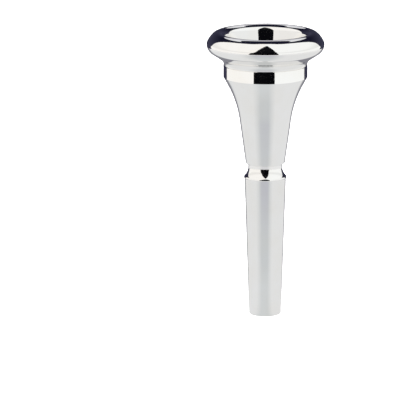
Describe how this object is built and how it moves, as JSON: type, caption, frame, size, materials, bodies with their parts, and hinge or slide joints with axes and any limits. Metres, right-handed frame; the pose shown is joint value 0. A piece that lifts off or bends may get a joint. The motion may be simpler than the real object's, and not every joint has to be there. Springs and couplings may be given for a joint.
{
  "type": "french horn mouthpiece",
  "caption": "Silver-plated brass horn mouthpiece in three turned pieces, a stem, a funnel cup and a rim, that screw together.",
  "frame": {"origin": "centre of the stem's end face, the face it stands on", "axes": "+Z along the turning axis from the stem's end to the rim; X and Y are the two directions across it"},
  "size_m": [0.026, 0.026, 0.0635],
  "materials": {
    "silver_plated_brass": "polished silver plate over brass",
    "seal_rubber": "matt black"
  },
  "bodies": {
    "stem": {"stem": "silver_plated_brass"},
    "stem_seal": {"stem_seal_ring": "seal_rubber"},
    "cup": {"cup": "silver_plated_brass"},
    "rim_seal": {"rim_seal_ring": "seal_rubber"},
    "rim": {"rim": "silver_plated_brass"}
  },
  "joints": [
    {"name": "cup_turn", "type": "hinge", "parent": "stem", "child": "stem_seal", "pos_m": [0, 0, 0.034], "axis": [0, 0, 1], "range_deg": [0, 1260]},
    {"name": "cup_rise", "type": "slide", "parent": "stem_seal", "child": "cup", "axis": [0, 0, 1], "range_m": [0, 0.00263]},
    {"name": "rim_rise", "type": "slide", "parent": "cup", "child": "rim_seal", "axis": [0, 0, 1], "range_m": [0, 0.00225]},
    {"name": "rim_turn", "type": "hinge", "parent": "rim_seal", "child": "rim", "pos_m": [0, 0, 0.0563], "axis": [0, 0, 1], "range_deg": [0, 1080]}
  ],
  "couplings": [
    {"joint": "cup_rise", "follows": "cup_turn", "m_per_rad": 0.00011937},
    {"joint": "rim_rise", "follows": "rim_turn", "m_per_rad": 0.00011937}
  ]
}
